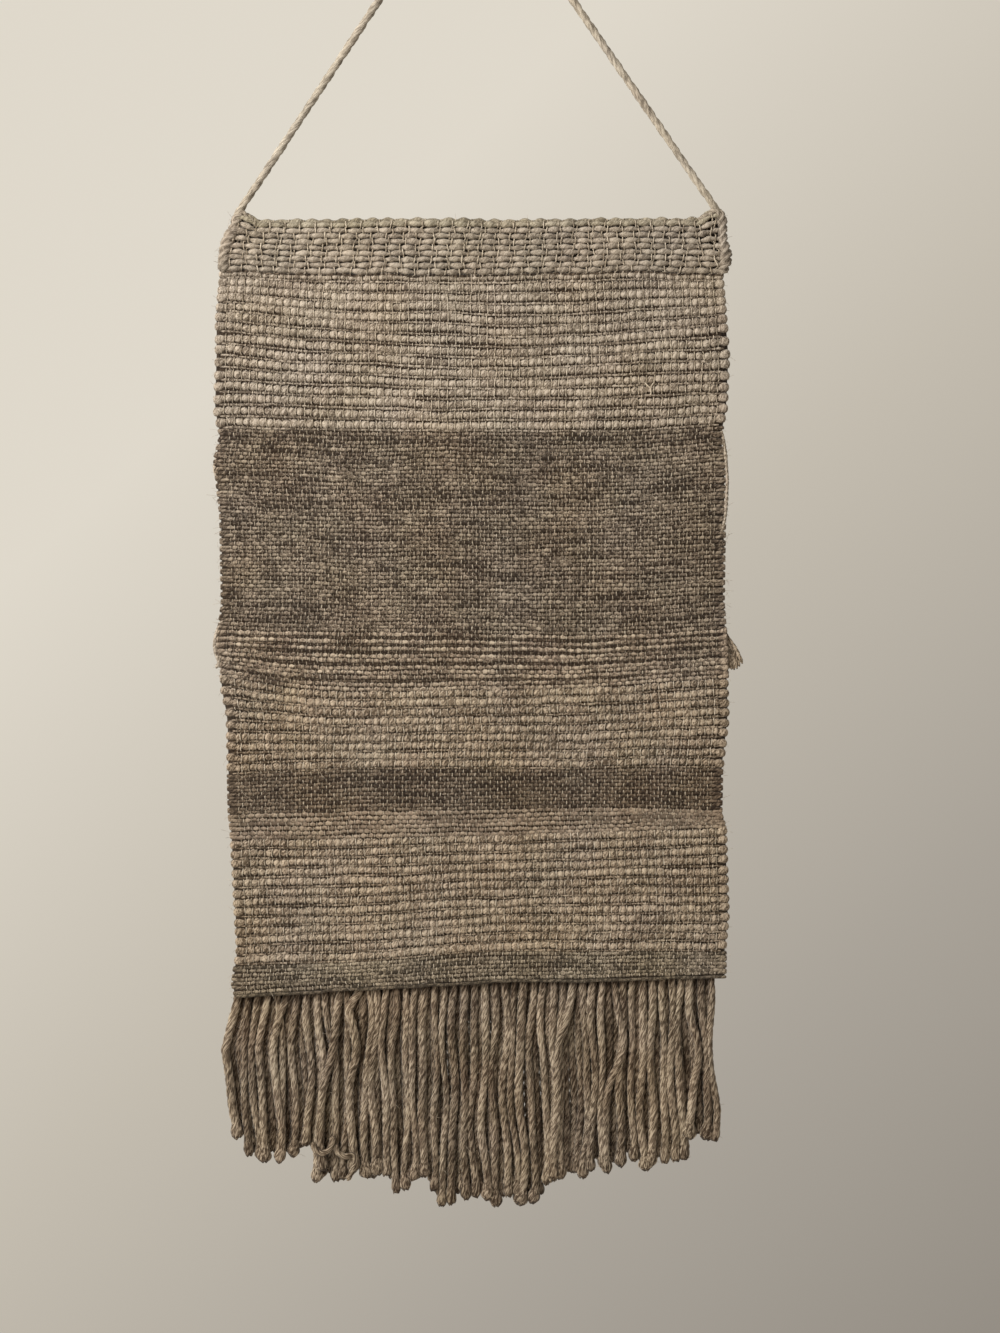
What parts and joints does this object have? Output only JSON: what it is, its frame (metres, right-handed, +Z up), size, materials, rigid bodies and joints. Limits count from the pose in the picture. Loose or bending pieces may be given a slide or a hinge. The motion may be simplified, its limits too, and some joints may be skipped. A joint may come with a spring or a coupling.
{
  "type": "woven wall hanging",
  "caption": "Banded hand-woven panel with a turned-over heading, a long plied-yarn fringe behind its hem, and a cord between its top corners to hang it by.",
  "frame": {"origin": "the place where the middle of the hanging cord bears on what holds the hanging up", "axes": "+Z up, the front of the cloth faces -Y, +X to the right seen from the front"},
  "size_m": [0.3668, 0.0167, 0.9271],
  "materials": {
    "woven_cloth": "coarse hand-woven wool in taupe and grey-brown bands, with a thin paler warp",
    "fringe_yarn": "thick plied heathered yarn, warm beige-brown, with cut ends",
    "cord_yarn": "plied pale beige yarn, slightly fuzzy",
    "tail_yarn": "thick plied heathered yarn"
  },
  "bodies": {
    "root": {"woven_panel": "woven_cloth", "fringe": "fringe_yarn", "hanging_cord": "cord_yarn", "loose_yarn_tail": "tail_yarn"}
  },
  "joints": []
}
